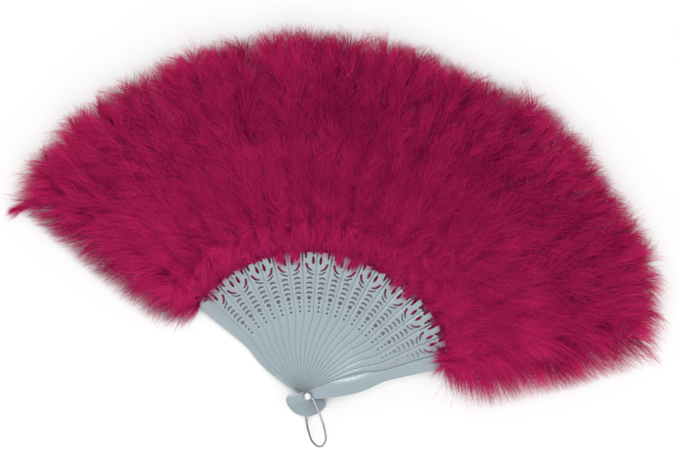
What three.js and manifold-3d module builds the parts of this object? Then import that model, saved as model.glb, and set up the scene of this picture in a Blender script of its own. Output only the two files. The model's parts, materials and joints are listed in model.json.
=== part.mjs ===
// Folding feather fan: pierced plastic sticks on one rivet, a downy plume on every stick, a wire bail below.
// Millimetres, +Z up. The open fan lies flat, its middle along +Y, with the rivet's axis on Z.

import * as THREE from "three";
import { mergeVertices } from "three/addons/utils/BufferGeometryUtils.js";
import Module from "manifold-3d";

const wasm = await Module();
wasm.setup();

// Fan layout
const INNER_STICKS = 19;
const STICK_PITCH_DEG = 6.2;
const RUNNING_GAP = 0.3;

// Plates that turn on the rivet
const STICK_THICKNESS = 0.8;
const GUARD_THICKNESS = 1.4;
const TAIL_LENGTH = 16.5;
const TAIL_HALF = 4.2;
const WAIST_HALF = 3.7;
const BLADE_RADIUS = 36;
const BLADE_HALF = 6.2;
const GUARD_HALF = 7.2;
const GUARD_NECK_HALF = 4;
const NECK_RADIUS = 61;
const SLIP_HALF = 2.2;
const SLIP_END_HALF = 1.5;
const SLIP_LENGTH = 74;

// Pierced lace of the inner sticks, counted outwards from the row of round holes
const ROW_RADIUS = 73;
const ROW_HOLE = 2.8;
const PIP_HOLE = 1.5;
const PIP_STEP = 3.4;
const PIP_COUNT = 3;
const BAR_STEP = 3.7;
const BAR_COUNT = 4;
const BAR_WIDTH = 4.2;
const BAR_HEIGHT = 1.2;
const BAR_ARCH = 0.7;
const LEAF_HEIGHT = 15;
const HEAD_LAP = 0.2;

// Rivet and wire bail
const SHANK_DIAMETER = 3;
const HEAD_DIAMETER = 7.6;
const BACK_HEAD = 1.4;
const FRONT_HEAD = 1.9;
const WIRE_DIAMETER = 1.6;
const BAIL_LENGTH = 40;
const BAIL_WIDTH = 12.6;
const BAIL_REST_DEG = 27;

// Plumes of down
const PLUME_LENGTH = 163;
const PLUME_RISE = 10;
const PLUME_OVERHANG = 43;
const PLUME_SHOULDER = 0.18;
const PLUME_CHAMFER = 0.2;
const OVERHANG_SHOULDER = 0.4;
const OVERHANG_CHAMFER = 0.34;

// Facets
const CURVE_STEPS = 3;
const ROUND_SIDES = 12;
const PIP_SIDES = 6;
const WIRE_SIDES = 8;
const WIRE_STEPS = 56;

// Heights along the rivet, from the table up
const shankRadius = SHANK_DIAMETER / 2;
const wireRadius = WIRE_DIAMETER / 2;
const backEyeZ = BACK_HEAD + RUNNING_GAP + wireRadius;
const backGuardZ = backEyeZ + wireRadius + RUNNING_GAP;
const firstStickZ = backGuardZ + GUARD_THICKNESS + RUNNING_GAP;
const layerPitch = STICK_THICKNESS + RUNNING_GAP;
const frontGuardZ = firstStickZ + INNER_STICKS * layerPitch;
const frontEyeZ = frontGuardZ + GUARD_THICKNESS + RUNNING_GAP + wireRadius;
const frontHeadZ = frontEyeZ + wireRadius + RUNNING_GAP;
const plumeTopZ = frontHeadZ + PLUME_RISE;

// Radii along a stick, from the rivet out
const halfPitch = THREE.MathUtils.degToRad(STICK_PITCH_DEG / 2);
const leafBase = ROW_RADIUS + ROW_HOLE + (BAR_COUNT + 0.6) * BAR_STEP;
const leafTip = leafBase + LEAF_HEIGHT;
const slipEnd = leafTip + SLIP_LENGTH;
const plumeStart = leafTip + 2 * RUNNING_GAP;

// Finishes
const plastic = new THREE.MeshStandardMaterial({ color: 0xe6eef0, roughness: 0.28, metalness: 0 });
const down = new THREE.MeshStandardMaterial({ color: 0xa8144f, roughness: 0.95, metalness: 0 });
const steel = new THREE.MeshStandardMaterial({ color: 0xb9bdc2, roughness: 0.2, metalness: 1 });

// Half the width that one stick's share of the fan has at a radius
function shareHalf(radius) {
  return radius * Math.tan(halfPitch);
}

function headHalf(radius) {
  return shareHalf(radius) + HEAD_LAP;
}

function mirrored(points) {
  return points.map((p) => new THREE.Vector2(-p.x, p.y)).reverse();
}

function roundHole(y, diameter, sides) {
  const circle = new THREE.EllipseCurve(0, y, diameter / 2, diameter / 2, 0, 2 * Math.PI);
  return new THREE.Path(circle.getPoints(sides).slice(0, sides));
}

// Right-hand edge from the tail's end, past the waist and the swelling blade, up to the neck
function bladeEdge(bladeHalf, neckHalf) {
  const edge = new THREE.Path();
  edge.moveTo(0, -TAIL_LENGTH);
  edge.quadraticCurveTo(TAIL_HALF, -TAIL_LENGTH, TAIL_HALF, -0.7 * TAIL_LENGTH);
  edge.quadraticCurveTo(WAIST_HALF, -0.35 * TAIL_LENGTH, WAIST_HALF, 0);
  edge.bezierCurveTo(WAIST_HALF, 0.3 * BLADE_RADIUS, bladeHalf, 0.5 * BLADE_RADIUS, bladeHalf, BLADE_RADIUS);
  const fall = NECK_RADIUS - BLADE_RADIUS;
  edge.bezierCurveTo(
    bladeHalf, BLADE_RADIUS + 0.5 * fall, neckHalf, NECK_RADIUS - 0.35 * fall, neckHalf, NECK_RADIUS,
  );
  return edge.getPoints(CURVE_STEPS);
}

// Narrow strip that carries the plume, from the right foot round its end to the left foot
function slipEdge(footRadius) {
  return [
    new THREE.Vector2(SLIP_HALF, footRadius),
    new THREE.Vector2(SLIP_END_HALF, slipEnd),
    new THREE.Vector2(-SLIP_END_HALF, slipEnd),
    new THREE.Vector2(-SLIP_HALF, footRadius),
  ];
}

// Place on the crest: across from the pointed leaf's edge (-1) to the palmette's seam (1), up from the base
function crestPoint(across, up) {
  return new THREE.Vector2(across * headHalf(leafBase + LEAF_HEIGHT / 2), leafBase + up * LEAF_HEIGHT);
}

function crestCurve(start, control, end) {
  const places = [start, control, end].map(([across, up]) => crestPoint(across, up));
  return new THREE.QuadraticBezierCurve(...places).getPoints(CURVE_STEPS);
}

// Lace crest of one stick: half a palmette on the right, a notch, half a pointed leaf on the left
function crestEdge() {
  return [
    new THREE.Vector2(headHalf(leafBase), leafBase),
    ...crestCurve([1, 0.9], [0.8, 1.05], [0.6, 0.86]),
    ...slipEdge(crestPoint(0, 0.84).y),
    ...crestCurve([-0.42, 0.74], [-0.46, 0.56], [-0.64, 0.7]),
    crestPoint(-0.72, 0.86),
    crestPoint(-0.92, 1),
    new THREE.Vector2(-headHalf(leafBase), leafBase),
  ];
}

// Short arched slot across the stick
function barSlot(y) {
  const half = BAR_WIDTH / 2;
  const slot = new THREE.Path();
  slot.moveTo(-half, y);
  slot.lineTo(0, y + BAR_ARCH);
  slot.lineTo(half, y);
  slot.lineTo(half, y + BAR_HEIGHT);
  slot.lineTo(0, y + BAR_ARCH + BAR_HEIGHT);
  slot.lineTo(-half, y + BAR_HEIGHT);
  return slot;
}

// Cuts under and in a half palmette, on the side where it lies: a drop between its petals, a crescent that
// carries it like a bowl, and a thin arc below that
function palmetteCuts(side) {
  const drop = [
    ...crestCurve([0.3, 0.5], [0.47, 0.22], [0.64, 0.5]),
    crestPoint(0.47, 0.77),
  ];
  const crescent = [
    ...crestCurve([-0.63, 0.41], [-0.46, 0.05], [0.36, 0.03]),
    ...crestCurve([0.33, 0.08], [-0.14, 0.13], [-0.37, 0.42]),
  ];
  const arc = [
    ...crestCurve([-0.35, 0], [0, -0.17], [0.54, -0.17]),
    ...crestCurve([0.54, -0.12], [0.07, -0.11], [-0.35, 0.07]),
  ];
  return [drop, crescent, arc].map((cut) => new THREE.Path(side > 0 ? cut : mirrored(cut)));
}

function plate(shape, thickness) {
  const settings = { depth: thickness, bevelEnabled: false, curveSegments: CURVE_STEPS };
  return new THREE.ExtrudeGeometry(shape, settings);
}

const pivotHole = () => roundHole(0, SHANK_DIAMETER + 2 * RUNNING_GAP, ROUND_SIDES);

// Inner stick; side +1 or -1 says on which edge its half palmette lies
function innerStick(side) {
  const edge = bladeEdge(BLADE_HALF, headHalf(NECK_RADIUS));
  const crest = crestEdge();
  const shape = new THREE.Shape([
    ...edge,
    ...(side > 0 ? crest : mirrored(crest)),
    ...mirrored(edge).slice(0, -1),
  ]);
  shape.holes.push(pivotHole(), roundHole(ROW_RADIUS, ROW_HOLE, ROUND_SIDES), ...palmetteCuts(side));
  for (let k = 1; k <= PIP_COUNT; k += 1) {
    shape.holes.push(roundHole(ROW_RADIUS - k * PIP_STEP, PIP_HOLE, PIP_SIDES));
  }
  for (let k = 0; k < BAR_COUNT; k += 1) {
    shape.holes.push(barSlot(ROW_RADIUS + ROW_HOLE + k * BAR_STEP));
  }
  return plate(shape, STICK_THICKNESS);
}

// Plain outer stick, with a rounded shoulder where the plume hides it
function guardStick() {
  const shoulder = headHalf(leafBase);
  const edge = bladeEdge(GUARD_HALF, GUARD_NECK_HALF);
  const top = new THREE.Path();
  top.moveTo(shoulder, leafBase);
  top.quadraticCurveTo(shoulder, leafTip, SLIP_HALF, leafTip);
  const right = [...edge, ...top.getPoints(CURVE_STEPS).slice(0, -1)];
  const shape = new THREE.Shape([...right, ...slipEdge(leafTip), ...mirrored(right).slice(0, -1)]);
  shape.holes.push(pivotHole());
  return plate(shape, GUARD_THICKNESS);
}

// Closed skin through rings of equal point count, capped at both ends
function loft(rings) {
  const count = rings[0].length;
  const positions = rings.flat().flatMap((p) => [p.x, p.y, p.z]);
  const index = [];
  for (let r = 0; r + 1 < rings.length; r += 1) {
    for (let k = 0; k < count; k += 1) {
      const a = r * count + k;
      const b = r * count + ((k + 1) % count);
      index.push(a, b, b + count, a, b + count, a + count);
    }
  }
  const last = (rings.length - 1) * count;
  for (let k = 1; k + 1 < count; k += 1) {
    index.push(0, k + 1, k, last, last + k, last + k + 1);
  }
  const geometry = new THREE.BufferGeometry();
  geometry.setAttribute("position", new THREE.Float32BufferAttribute(positions, 3));
  geometry.setIndex(index);
  return geometry;
}

function toSolid(geometry) {
  const bare = geometry.clone();
  bare.deleteAttribute("normal");
  bare.deleteAttribute("uv");
  const merged = mergeVertices(bare);
  return new wasm.Manifold(new wasm.Mesh({
    numProp: 3,
    vertProperties: new Float32Array(merged.attributes.position.array),
    triVerts: new Uint32Array(merged.index.array),
  }));
}

function toGeometry(solid) {
  const mesh = solid.getMesh();
  const geometry = new THREE.BufferGeometry();
  geometry.setAttribute("position", new THREE.BufferAttribute(mesh.vertProperties, 3));
  geometry.setIndex(new THREE.BufferAttribute(mesh.triVerts, 1));
  return geometry;
}

// Sections of a plume from its foot to its tip: place along it, then shares of its width and overhang and
// of the pile's height at its underside and top; the pile swells past the foot and thins to the rim
const PLUME_SECTIONS = [
  [0, 0.98, 0.35, 0.05, 0.8],
  [0.1, 1, 0.8, 0.02, 0.98],
  [0.25, 1, 0.96, 0, 1],
  [0.6, 1, 1, 0.02, 1],
  [0.78, 1, 0.96, 0.08, 0.95],
  [0.92, 0.95, 0.8, 0.17, 0.86],
  [1, 0.75, 0.45, 0.32, 0.71],
];

// One ring of a plume: a box section with its corners cut, sloping down on the open side of a guard
function plumeRing([along, widthShare, overhangShare, lowShare, highShare], outward) {
  const y = plumeStart + along * PLUME_LENGTH;
  const own = (shareHalf(y) - RUNNING_GAP) * widthShare;
  const overhang = Math.max(own, PLUME_OVERHANG * overhangShare);
  const low = lowShare * plumeTopZ;
  const high = highShare * plumeTopZ;
  const inner = { reach: own, inset: PLUME_SHOULDER * own, cut: PLUME_CHAMFER * (high - low) };
  const open = { reach: overhang, inset: OVERHANG_SHOULDER * overhang, cut: OVERHANG_CHAMFER * (high - low) };
  const left = outward < 0 ? open : inner;
  const right = outward > 0 ? open : inner;
  return [
    new THREE.Vector3(-left.reach, y, low + left.cut),
    new THREE.Vector3(-left.reach, y, high - left.cut),
    new THREE.Vector3(-left.reach + left.inset, y, high),
    new THREE.Vector3(right.reach - right.inset, y, high),
    new THREE.Vector3(right.reach, y, high - right.cut),
    new THREE.Vector3(right.reach, y, low + right.cut),
    new THREE.Vector3(right.reach - right.inset, y, low),
    new THREE.Vector3(-left.reach + left.inset, y, low),
  ];
}

// Plume round its stick's slip, which it holds in a close slot; outward is the open side of a guard's plume
function plume(z, thickness, outward) {
  const body = loft(PLUME_SECTIONS.map((section) => plumeRing(section, outward)));
  const length = SLIP_LENGTH + RUNNING_GAP;
  const slot = new THREE.BoxGeometry(2 * (SLIP_HALF + RUNNING_GAP), 2 * length, thickness + 2 * RUNNING_GAP);
  slot.translate(0, leafTip, z + thickness / 2);
  return toGeometry(toSolid(body).subtract(toSolid(slot)));
}

// Rivet turned on the Z axis, flat behind and domed in front
function rivet() {
  const headRadius = HEAD_DIAMETER / 2;
  const profile = new THREE.Path();
  profile.moveTo(0, 0);
  profile.lineTo(headRadius - BACK_HEAD / 2, 0);
  profile.lineTo(headRadius, BACK_HEAD / 2);
  profile.lineTo(headRadius, BACK_HEAD);
  profile.lineTo(shankRadius, BACK_HEAD);
  profile.lineTo(shankRadius, frontHeadZ);
  profile.lineTo(headRadius, frontHeadZ);
  profile.quadraticCurveTo(headRadius, frontHeadZ + FRONT_HEAD, 0, frontHeadZ + FRONT_HEAD);
  return new THREE.LatheGeometry(profile.getPoints(CURVE_STEPS), ROUND_SIDES).rotateX(Math.PI / 2);
}

// Wire bail: an eye round each end of the rivet and a long loop that crosses from front to back below the tails
function bailPath() {
  const eye = shankRadius + RUNNING_GAP + wireRadius;
  const half = BAIL_WIDTH / 2;
  const clearOfTails = TAIL_LENGTH + WIRE_DIAMETER + RUNNING_GAP;
  const belly = (clearOfTails + BAIL_LENGTH) / 2;
  const drop = frontEyeZ - backEyeZ;
  const turn = THREE.MathUtils.degToRad(240);
  const eyeSteps = 8;
  const front = [];
  for (let k = 0; k < eyeSteps; k += 1) {
    const a = turn * (1 - k / eyeSteps);
    front.push(new THREE.Vector3(eye * Math.cos(a), eye * Math.sin(a), frontEyeZ));
  }
  front.push(new THREE.Vector3(eye, 0, frontEyeZ));
  front.push(new THREE.Vector3(0.5 * (eye + half), -0.45 * clearOfTails, frontEyeZ));
  front.push(new THREE.Vector3(0.95 * half, -clearOfTails, frontEyeZ));
  front.push(new THREE.Vector3(half, -belly, frontEyeZ - 0.16 * drop));
  front.push(new THREE.Vector3(0.72 * half, -belly - 0.7 * (BAIL_LENGTH - belly), frontEyeZ - 0.34 * drop));
  const back = front.map((p) => new THREE.Vector3(-p.x, p.y, frontEyeZ + backEyeZ - p.z)).reverse();
  const bottom = new THREE.Vector3(0, -BAIL_LENGTH, (frontEyeZ + backEyeZ) / 2);
  return new THREE.CatmullRomCurve3([...front, bottom, ...back], false, "centripetal");
}

function bail() {
  const ring = new THREE.EllipseCurve(0, 0, wireRadius, wireRadius, 0, 2 * Math.PI);
  const section = new THREE.Shape(ring.getPoints(WIRE_SIDES).slice(0, WIRE_SIDES));
  return new THREE.ExtrudeGeometry(section, { steps: WIRE_STEPS, extrudePath: bailPath() });
}

function named(name, geometry, material) {
  const mesh = new THREE.Mesh(geometry, material);
  mesh.name = name;
  return mesh;
}

// One stick with its plume, turned to its place; layer 0 is the back guard on the left
function stickWithPlume(layer) {
  const last = INNER_STICKS + 1;
  const isGuard = layer === 0 || layer === last;
  const label = layer === 0 ? "back_guard" : layer === last ? "front_guard" : String(layer).padStart(2, "0");
  const thickness = isGuard ? GUARD_THICKNESS : STICK_THICKNESS;
  const z = layer === 0 ? backGuardZ : firstStickZ + (layer - 1) * layerPitch;
  const outward = layer === 0 ? -1 : layer === last ? 1 : 0;
  const side = layer % 2 === 0 ? 1 : -1;
  const stick = named(
    isGuard ? label : `stick_${label}`, isGuard ? guardStick() : innerStick(side), plastic,
  );
  stick.position.z = z;
  const turned = new THREE.Group();
  turned.rotation.z = -2 * halfPitch * (layer - last / 2);
  turned.add(stick, named(`plume_${label}`, plume(z, thickness, outward), down));
  return turned;
}

const fan = new THREE.Group();
for (let layer = 0; layer <= INNER_STICKS + 1; layer += 1) {
  fan.add(stickWithPlume(layer));
}
fan.add(named("rivet", rivet(), steel));
const hangingBail = named("bail", bail(), steel);
hangingBail.rotation.z = THREE.MathUtils.degToRad(BAIL_REST_DEG);
fan.add(hangingBail);

export default fan;
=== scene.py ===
# %% [markdown]
# A folding feather fan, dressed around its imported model.
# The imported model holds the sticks, the rivet, the wire bail and a plain solid for every plume.
# This lesson gives each of them the finish of the real fan: moulded plastic, plated wire and dyed down.

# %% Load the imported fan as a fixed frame
import json
import math
from collections import namedtuple

import bpy
import numpy as np
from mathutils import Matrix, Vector
from mathutils.geometry import interpolate_bezier


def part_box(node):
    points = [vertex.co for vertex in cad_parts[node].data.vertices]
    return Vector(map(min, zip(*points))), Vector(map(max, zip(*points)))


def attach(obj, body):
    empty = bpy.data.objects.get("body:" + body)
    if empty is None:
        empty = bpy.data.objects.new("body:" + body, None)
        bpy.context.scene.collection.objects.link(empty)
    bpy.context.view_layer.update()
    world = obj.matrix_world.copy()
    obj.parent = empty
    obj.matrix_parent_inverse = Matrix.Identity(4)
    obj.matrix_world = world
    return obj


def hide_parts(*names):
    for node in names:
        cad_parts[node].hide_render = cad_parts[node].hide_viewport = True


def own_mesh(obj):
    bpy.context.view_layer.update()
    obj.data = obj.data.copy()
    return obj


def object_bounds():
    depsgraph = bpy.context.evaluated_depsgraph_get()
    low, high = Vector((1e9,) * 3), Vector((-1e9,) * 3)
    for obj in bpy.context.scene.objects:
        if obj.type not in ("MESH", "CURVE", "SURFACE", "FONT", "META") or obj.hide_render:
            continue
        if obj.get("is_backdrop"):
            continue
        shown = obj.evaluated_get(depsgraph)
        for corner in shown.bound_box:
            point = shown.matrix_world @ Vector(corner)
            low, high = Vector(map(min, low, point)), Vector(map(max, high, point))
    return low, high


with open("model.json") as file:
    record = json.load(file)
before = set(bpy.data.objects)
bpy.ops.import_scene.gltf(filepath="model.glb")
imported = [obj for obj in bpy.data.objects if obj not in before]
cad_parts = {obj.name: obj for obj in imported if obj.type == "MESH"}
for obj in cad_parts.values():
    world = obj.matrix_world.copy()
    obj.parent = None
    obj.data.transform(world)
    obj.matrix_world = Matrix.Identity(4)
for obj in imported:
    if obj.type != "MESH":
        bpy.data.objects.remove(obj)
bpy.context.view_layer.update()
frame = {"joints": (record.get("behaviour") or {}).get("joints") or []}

MM = 0.001
bpy.ops.object.select_all(action="DESELECT")

# %% [markdown]
# The photograph looks straight down on the open fan, whose middle leans a little to the right.
# A camera turned by that lean could be found by hand, but two facts settle it:
# the pixel at which the rivet lies, and the real size of a pixel at the middle of the pile of down.

# %% Camera at the photograph's view
PHOTO_WIDTH = 680
PHOTO_HEIGHT = 453
PIVOT_PIXEL = (307.7, 395.2)
PIXEL_SIZE = 0.75 * MM
FAN_LEAN = math.radians(13.3)
PILE_MIDDLE = 20 * MM
CAMERA_DISTANCE = 1.6
SENSOR_WIDTH = 36.0

image_right = Vector((math.cos(FAN_LEAN), math.sin(FAN_LEAN), 0))
image_up = Vector((-math.sin(FAN_LEAN), math.cos(FAN_LEAN), 0))
view_centre = image_right * (PHOTO_WIDTH / 2 - PIVOT_PIXEL[0]) * PIXEL_SIZE
view_centre += image_up * (PIVOT_PIXEL[1] - PHOTO_HEIGHT / 2) * PIXEL_SIZE
view_centre.z = PILE_MIDDLE

bpy.ops.object.camera_add(
    location=view_centre + Vector((0, 0, CAMERA_DISTANCE)),
    rotation=(0, 0, FAN_LEAN),
)
camera = bpy.context.object
camera.data.sensor_width = SENSOR_WIDTH
camera.data.lens = SENSOR_WIDTH * CAMERA_DISTANCE / (PHOTO_WIDTH * PIXEL_SIZE)
bpy.context.scene.camera = camera
print("lens in mm:", round(camera.data.lens, 1))

# %% [markdown]
# The light is that of a plain product table: an even white surround, a large soft box on the rivet's side,
# and a small lamp over the sticks, whose reflection is the bright streak on the front guard.
# Together they give a flat white card its own colour, so every finish below is written as it should look.
# The surround lights the fan gently, and looks white to the camera and to anything shiny.

# %% Nodes by name, and the light path of what sees the background
def new_node(tree, kind, **sockets):
    node = tree.nodes.new(kind)
    for name, value in sockets.items():
        node.inputs[name.replace("_", " ")].default_value = value
    return node


def background_seen(tree):
    """1 for a ray from the camera, or one that leaves a shiny or clear surface."""
    path = tree.nodes.new("ShaderNodeLightPath")
    seen = path.outputs["Is Camera Ray"]
    for name in ("Is Glossy Ray", "Is Transmission Ray"):
        either = tree.nodes.new("ShaderNodeMath")
        either.operation = "MAXIMUM"
        tree.links.new(seen, either.inputs[0])
        tree.links.new(path.outputs[name], either.inputs[1])
        seen = either.outputs[0]
    return seen


# %% Surround
SURROUND_LIGHT = 0.5

bpy.context.scene.view_settings.view_transform = "Standard"
world = bpy.data.worlds.new("surround")
world.use_nodes = True
bpy.context.scene.world = world
tree = world.node_tree
tree.nodes.clear()
lighting = new_node(tree, "ShaderNodeBackground", Color=(1, 1, 1, 1), Strength=SURROUND_LIGHT)
seen_white = new_node(tree, "ShaderNodeBackground", Color=(1, 1, 1, 1), Strength=1.0)
choice = tree.nodes.new("ShaderNodeMixShader")
output = tree.nodes.new("ShaderNodeOutputWorld")
tree.links.new(background_seen(tree), choice.inputs[0])
tree.links.new(lighting.outputs[0], choice.inputs[1])
tree.links.new(seen_white.outputs[0], choice.inputs[2])
tree.links.new(choice.outputs[0], output.inputs[0])

print("surround light", SURROUND_LIGHT)

# %% Lamps
Lamp = namedtuple("Lamp", "name size power place aim")
soft_box_place = view_centre + image_right * 0.05 + image_up * -0.5 + Vector((0, 0, 1.4))
LAMPS = (
    Lamp("soft_box", size=1.5, power=11.0, place=soft_box_place, aim=view_centre - soft_box_place),
    Lamp("small_lamp", size=0.16, power=2.2, place=Vector((-0.14, 0.24, 1.5)), aim=Vector((0, 0, -1))),
)

for lamp in LAMPS:
    facing = lamp.aim.to_track_quat("-Z", "Y").to_euler()
    bpy.ops.object.light_add(type="AREA", location=lamp.place, rotation=facing)
    light = bpy.context.object
    light.name = lamp.name
    light.data.size = lamp.size
    light.data.energy = lamp.power
    print(lamp.name, "at", [round(x, 2) for x in light.location])

# %% [markdown]
# The floor has two faces. To the light it is a pale table that throws some of it back up into the down.
# To the camera it glows white, and the glow fades where something shelters the table within a few centimetres,
# which an Ambient Occlusion node measures: painted shade under and beside the fan. So the shadow, partly real and
# partly painted, stays soft and close to the fan.

# %% Floor
FLOOR_SIZE = 8.0
FLOOR_DROP = 0.3 * MM
FLOOR_GLOW = 0.56
SHADE_GLOW = 0.07
SHELTER = 40 * MM
SHELTERED = 0.4
OPEN = 0.7
TABLE_GREY = (0.75, 0.75, 0.75, 1)
SEEN_GREY = (0.5, 0.5, 0.5, 1)

bpy.ops.mesh.primitive_plane_add(size=FLOOR_SIZE, location=(0, 0, -FLOOR_DROP))
floor = bpy.context.object
floor.name = "floor"
floor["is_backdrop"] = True
white_floor = bpy.data.materials.new("white_floor")
white_floor.use_nodes = True
tree = white_floor.node_tree
tree.nodes.clear()
bounce = new_node(tree, "ShaderNodeBsdfDiffuse", Color=TABLE_GREY)
glow = new_node(tree, "ShaderNodeEmission", Color=(1, 1, 1, 1))
# Painted shade: the glow is dimmed where ambient occlusion finds the fan close above the table.
open_floor = new_node(tree, "ShaderNodeAmbientOcclusion", Distance=SHELTER)
glow_strength = new_node(
    tree, "ShaderNodeMapRange", From_Min=SHELTERED, From_Max=OPEN, To_Min=SHADE_GLOW, To_Max=FLOOR_GLOW,
)
shaded = new_node(tree, "ShaderNodeBsdfDiffuse", Color=SEEN_GREY)
both = tree.nodes.new("ShaderNodeAddShader")
choice = tree.nodes.new("ShaderNodeMixShader")
output = tree.nodes.new("ShaderNodeOutputMaterial")
tree.links.new(open_floor.outputs["AO"], glow_strength.inputs["Value"])
tree.links.new(glow_strength.outputs["Result"], glow.inputs["Strength"])
tree.links.new(glow.outputs[0], both.inputs[0])
tree.links.new(shaded.outputs[0], both.inputs[1])
tree.links.new(background_seen(tree), choice.inputs[0])
tree.links.new(bounce.outputs[0], choice.inputs[1])
tree.links.new(both.outputs[0], choice.inputs[2])
tree.links.new(choice.outputs[0], output.inputs[0])
floor.data.materials.append(white_floor)
print("floor", FLOOR_SIZE, "m wide")

# %% [markdown]
# The sticks are injection-moulded from one glossy white plastic that looks a little cool beside the floor.
# A single colour would look like paper, so a shared mottle effect varies the tint and the gloss a little,
# as the flow of the plastic in the mould does. The plated wire uses the same effect for its faint stains.

# %% Mottle effect, shared by the plastic and the metal
GRAIN_FINENESS = 14
RIPPLE_DEPTH = 0.05 * MM


def mottle_group():
    group = bpy.data.node_groups.new("mottle", "ShaderNodeTree")
    group.interface.new_socket("Scale", in_out="INPUT", socket_type="NodeSocketFloat")
    group.interface.new_socket("Cloud", in_out="OUTPUT", socket_type="NodeSocketFloat")
    group.interface.new_socket("Grain", in_out="OUTPUT", socket_type="NodeSocketFloat")
    inlet = group.nodes.new("NodeGroupInput")
    outlet = group.nodes.new("NodeGroupOutput")
    place = group.nodes.new("ShaderNodeTexCoord")
    for name, finer in (("Cloud", 1), ("Grain", GRAIN_FINENESS)):
        size = group.nodes.new("ShaderNodeMath")
        size.operation = "MULTIPLY"
        size.inputs[1].default_value = finer
        noise = new_node(group, "ShaderNodeTexNoise", Detail=3.0)
        group.links.new(inlet.outputs["Scale"], size.inputs[0])
        group.links.new(place.outputs["Object"], noise.inputs["Vector"])
        group.links.new(size.outputs[0], noise.inputs["Scale"])
        group.links.new(noise.outputs["Fac"], outlet.inputs[name])
    return group


mottle = mottle_group()


def mottled_material(name, scale, colours, roughness, bump):
    """Material whose colour and roughness each drift between two values; returns it with its shader."""
    material = bpy.data.materials.new(name)
    material.use_nodes = True
    tree = material.node_tree
    shader = tree.nodes["Principled BSDF"]
    effect = tree.nodes.new("ShaderNodeGroup")
    effect.node_tree = mottle
    effect.inputs["Scale"].default_value = scale
    tint = tree.nodes.new("ShaderNodeMix")
    tint.data_type = "RGBA"
    tint.inputs["A"].default_value = (*colours[0], 1)
    tint.inputs["B"].default_value = (*colours[1], 1)
    gloss = new_node(tree, "ShaderNodeMapRange", To_Min=roughness[0], To_Max=roughness[1])
    ripple = new_node(tree, "ShaderNodeBump", Strength=bump, Distance=RIPPLE_DEPTH)
    tree.links.new(effect.outputs["Cloud"], tint.inputs["Factor"])
    tree.links.new(effect.outputs["Cloud"], gloss.inputs["Value"])
    tree.links.new(effect.outputs["Grain"], ripple.inputs["Height"])
    tree.links.new(tint.outputs["Result"], shader.inputs["Base Color"])
    tree.links.new(gloss.outputs["Result"], shader.inputs["Roughness"])
    tree.links.new(ripple.outputs["Normal"], shader.inputs["Normal"])
    return material, shader


# %% Stick plastic and bright metal
stick_plastic, shader = mottled_material(
    "stick_plastic", scale=45.0, colours=[(0.255, 0.335, 0.374), (0.31, 0.398, 0.44)],
    roughness=(0.2, 0.36), bump=0.12,
)
shader.inputs["Coat Weight"].default_value = 0.2
shader.inputs["Coat Roughness"].default_value = 0.1

bright_metal, shader = mottled_material(
    "bright_metal", scale=180.0, colours=[(0.26, 0.27, 0.29), (0.44, 0.45, 0.47)],
    roughness=(0.14, 0.28), bump=0.2,
)
shader.inputs["Metallic"].default_value = 1.0
print("materials:", stick_plastic.name, bright_metal.name)

# %% [markdown]
# Every stick turns on the rivet, so its place is an angle and a height. Both come from the frame:
# the angle from how far its joint travels until the fan is shut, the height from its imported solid.
# Layer 0 is the back guard on the left, and layer 20 the front guard on the right.

# %% Places of the layers
INNER_STICKS = 19
FRONT_LAYER = INNER_STICKS + 1
joints = {joint["name"]: joint for joint in frame["joints"]}
full_fold = math.radians(joints["fold"]["range_deg"][1])


def layer_names(layer):
    """The stick's node, the plume's node and the body of a layer."""
    if layer == 0:
        return "back_guard", "plume_back_guard", "held_guard"
    if layer == FRONT_LAYER:
        return "front_guard", "plume_front_guard", "opening_guard"
    return f"stick_{layer:02d}", f"plume_{layer:02d}", f"leaf_{layer:02d}"


def layer_turn(layer):
    """Angle of a layer's stick from +Y, counter-clockwise."""
    joint = "fold" if layer == FRONT_LAYER else f"fold_{layer:02d}"
    travel = math.radians(joints[joint]["range_deg"][1]) if layer else 0.0
    return full_fold / 2 - travel


def layer_heights(layer):
    low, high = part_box(layer_names(layer)[0])
    return low.z, high.z


pitch = layer_turn(0) - layer_turn(1)
print("pitch in degrees:", round(math.degrees(pitch), 2), "heights of layer 1:", layer_heights(1))

# %% [markdown]
# A stick is a thin pierced plate: a tail below the rivet, a waist, a swelling blade, then the lace.
# It could be cut from a block with booleans, one for every hole. A flat curve does it in one step:
# Blender fills between the outline and the holes, gives the plate its thickness and rounds every edge.

# %% Sizes of the sticks in millimetres
TAIL_LENGTH = 16.5
TAIL_HALF = 4.2
WAIST_HALF = 3.7
BLADE_RADIUS = 36
BLADE_HALF = 6.2
GUARD_HALF = 7.2
GUARD_NECK_HALF = 4
NECK_RADIUS = 61
SLIP_HALF = 2.2
SLIP_END_HALF = 1.5
SLIP_LENGTH = 74
ROW_RADIUS = 73
ROW_HOLE = 2.8
PIP_HOLE = 1.5
PIP_STEP = 3.4
PIP_COUNT = 3
BAR_STEP = 3.7
BAR_COUNT = 4
BAR_WIDTH = 4.2
BAR_HEIGHT = 1.2
BAR_ARCH = 0.7
BARS_MARGIN = 0.6
LEAF_HEIGHT = 15
HEAD_LAP = 0.2
PIVOT_HOLE = 3.6
PIVOT_SIDES = 24
ROW_SIDES = 20
PIP_SIDES = 12
CURVE_STEPS = 6

leaf_base = ROW_RADIUS + ROW_HOLE + (BAR_COUNT + BARS_MARGIN) * BAR_STEP
leaf_tip = leaf_base + LEAF_HEIGHT
slip_end = leaf_tip + SLIP_LENGTH
print("lace from", round(leaf_base, 1), "to", round(leaf_tip, 1), "mm")


# %% Lines and curves of an outline
def head_half(radius):
    """Half the width of a stick's head, which just laps its neighbour's."""
    return radius * math.tan(pitch / 2) + HEAD_LAP


def cubic(start, handle, end_handle, end):
    """Points of a curve after its start."""
    knots = [Vector(point) for point in (start, handle, end_handle, end)]
    return [tuple(p) for p in interpolate_bezier(*knots, CURVE_STEPS + 1)][1:]


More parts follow.
